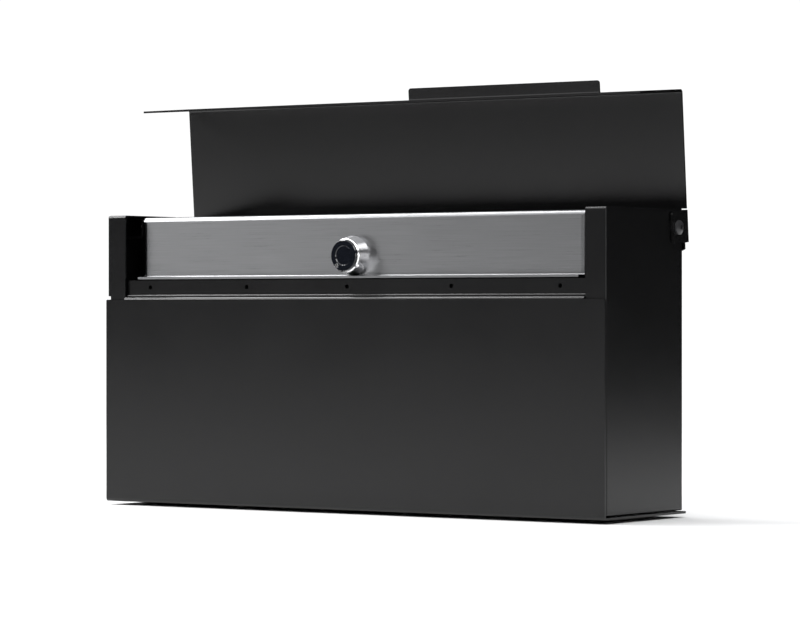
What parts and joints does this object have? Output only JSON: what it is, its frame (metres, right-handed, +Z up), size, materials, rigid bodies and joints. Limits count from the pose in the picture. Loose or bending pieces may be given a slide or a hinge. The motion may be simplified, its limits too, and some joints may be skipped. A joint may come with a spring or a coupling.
{
  "type": "wall-mount locking mailbox",
  "caption": "Wide black sheet-steel wall mailbox with its weather lid standing open over a brushed stainless locking flap and cam lock.",
  "frame": {"origin": "underside of the bottom plate, half way along it, 1.3 mm behind the faces of the front posts", "axes": "+X along the width, -Y towards the user, +Z up; the wall is on the +Y side"},
  "size_m": [0.4094, 0.1032, 0.2762],
  "materials": {
    "black_coat": "satin black powder coat with a very fine texture",
    "brushed_steel": "stainless steel, brushed along its length",
    "chrome": "polished chrome plate",
    "gloss_black": "polished black moulded plastic",
    "dark_steel": "blackened screw head",
    "zinc_steel": "bright zinc plate",
    "black_nylon": "matt moulded nylon",
    "black_rubber": "matt moulded rubber"
  },
  "bodies": {
    "box": {"side_panel_left": "black_coat", "side_panel_right": "black_coat", "back_panel": "black_coat", "floor_pan": "black_coat", "front_wall": "black_coat", "front_cover": "black_coat", "cover_spacers": "black_nylon", "cover_screws": "zinc_steel", "cover_nuts": "zinc_steel", "cam_keeper": "zinc_steel", "keeper_rivets": "zinc_steel", "top_deck": "black_coat", "flap_bracket_left": "black_coat", "flap_bracket_right": "black_coat", "flap_hinge_pins": "zinc_steel", "flap_pin_clips": "zinc_steel", "lid_pivot_screws": "dark_steel", "lid_pivot_washers": "black_nylon", "lid_pivot_nuts": "zinc_steel", "wall_spacers": "black_rubber"},
    "flap": {"locking_flap": "brushed_steel", "flap_springs": "zinc_steel", "lock_barrel": "chrome", "lock_washer": "zinc_steel", "lock_nut": "zinc_steel", "cap_rivet": "chrome"},
    "cap": {"weather_cap": "gloss_black"},
    "plug": {"lock_plug": "zinc_steel", "lock_cam": "zinc_steel", "cam_screw": "zinc_steel"},
    "lid": {"lid": "black_coat"}
  },
  "joints": [
    {"name": "lid_hinge", "type": "hinge", "parent": "box", "child": "lid", "pos_m": [0, 0.0825, 0.1833], "axis": [-1, 0, 0], "range_deg": [-85.6, 4.4]},
    {"name": "flap_hinge", "type": "hinge", "parent": "box", "child": "flap", "pos_m": [0, 0.017, 0.188], "axis": [1, 0, 0], "range_deg": [0, 60], "stiffness_Nm_per_rad": 0.05, "springref_deg": -57.3},
    {"name": "lock_turn", "type": "hinge", "parent": "flap", "child": "plug", "pos_m": [0, 0.01, 0.1661], "axis": [0, -1, 0], "range_deg": [-90, 0]},
    {"name": "cap_swing", "type": "hinge", "parent": "flap", "child": "cap", "pos_m": [-0.0053, -0.002, 0.1597], "axis": [0, -1, 0], "range_deg": [0, 150]}
  ]
}
